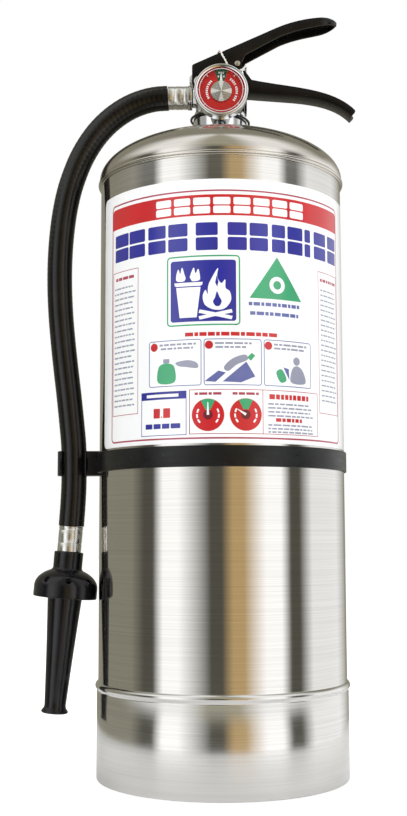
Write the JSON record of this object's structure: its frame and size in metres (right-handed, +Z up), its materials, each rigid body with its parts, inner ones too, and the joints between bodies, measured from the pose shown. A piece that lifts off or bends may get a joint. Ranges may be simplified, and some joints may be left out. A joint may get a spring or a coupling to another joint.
{
  "type": "fire extinguisher",
  "caption": "Tall stainless water fire extinguisher with a squeeze valve, round gauge, side hose held by a strap clip, and a tapered nozzle with a bell guard.",
  "frame": {"origin": "point where the tank's axis meets the plane that the foot ring stands on", "axes": "+Z up along the tank's axis, +X the side that the lever and handle point to, -Y the front with gauge and label"},
  "size_m": [0.2542, 0.1967, 0.5954],
  "materials": {
    "stainless": "brushed and polished stainless steel, fine circumferential grain",
    "chrome": "bright plating over forged brass",
    "brass": "machined brass, satin",
    "black_paint": "gloss black powder coat",
    "black_strap": "satin black plastic",
    "black_gloss": "gloss black moulded plastic",
    "hose_rubber": "black rubber with a fine ribbed cover",
    "seal_rubber": "black rubber",
    "zinc": "zinc plated steel",
    "white_plastic": "translucent white plastic",
    "label_print": null,
    "dial_print": "red printed dial with a green sector",
    "needle_metal": "turned aluminium",
    "lens_clear": "clear polycarbonate"
  },
  "bodies": {
    "tank": {"tank_shell": "stainless", "top_dome": "stainless", "bottom_dome": "stainless", "foot_skirt": "stainless", "neck": "chrome", "neck_oring": "seal_rubber", "label": "label_print", "valve_body": "chrome", "stem_gland": "brass", "stem_oring": "seal_rubber", "stem_spring": "zinc", "siphon_nipple": "brass", "siphon_tube": "white_plastic", "carry_handle": "black_paint", "handle_rivets": "zinc", "lever_pivot": "chrome", "gauge_socket": "brass", "gauge_gasket": "seal_rubber", "gauge_case": "chrome", "gauge_bezel": "chrome", "gauge_dial": "dial_print", "bourdon_tube": "brass", "gauge_pivot": "zinc", "gauge_lens": "lens_clear", "hose_coupling": "chrome", "coupling_washer": "seal_rubber", "upper_ferrule": "chrome", "hose": "hose_rubber", "lower_ferrule": "chrome", "hose_tail": "brass", "nozzle_guard": "black_gloss", "nozzle_tube": "black_gloss", "strap_band": "black_strap", "strap_buckle": "black_strap", "hose_clip": "black_strap"},
    "lever": {"squeeze_lever": "black_paint", "tamper_seal": "white_plastic"},
    "stem": {"valve_stem": "brass", "stem_seal": "seal_rubber"},
    "pin": {"pull_pin": "brass"},
    "ring": {"pull_ring": "zinc"},
    "needle": {"gauge_needle": "needle_metal"},
    "collar": {"service_collar": "black_strap"}
  },
  "joints": [
    {"name": "lever_squeeze", "type": "hinge", "parent": "tank", "child": "lever", "pos_m": [-0.0165, 0, 0.5425], "axis": [0, 1, 0], "range_deg": [0, 14], "stiffness_Nm_per_rad": 3, "springref_deg": -17.19},
    {"name": "stem_press", "type": "slide", "parent": "tank", "child": "stem", "axis": [0, 0, -1], "range_m": [0, 0.0066], "deforming": ["stem_spring"]},
    {"name": "pin_pull", "type": "slide", "parent": "lever", "child": "pin", "axis": [0, 1, 0], "range_m": [0, 0.04], "deforming": ["tamper_seal"]},
    {"name": "ring_swing", "type": "hinge", "parent": "pin", "child": "ring", "pos_m": [0.0141, 0.0213, 0.557], "axis": [0.8192, 0, -0.5736], "range_deg": [0, 95]},
    {"name": "needle_turn", "type": "hinge", "parent": "tank", "child": "needle", "pos_m": [0.001, -0.036, 0.524], "axis": [0, -1, 0], "range_deg": [-80, 100], "stiffness_Nm_per_rad": 0.002},
    {"name": "collar_turn", "type": "hinge", "parent": "tank", "child": "collar", "pos_m": [0, 0, 0.5125], "axis": [0, 0, 1], "continuous": true}
  ],
  "couplings": [
    {"joint": "stem_press", "follows": "lever_squeeze", "m_per_rad": 0.0265}
  ]
}
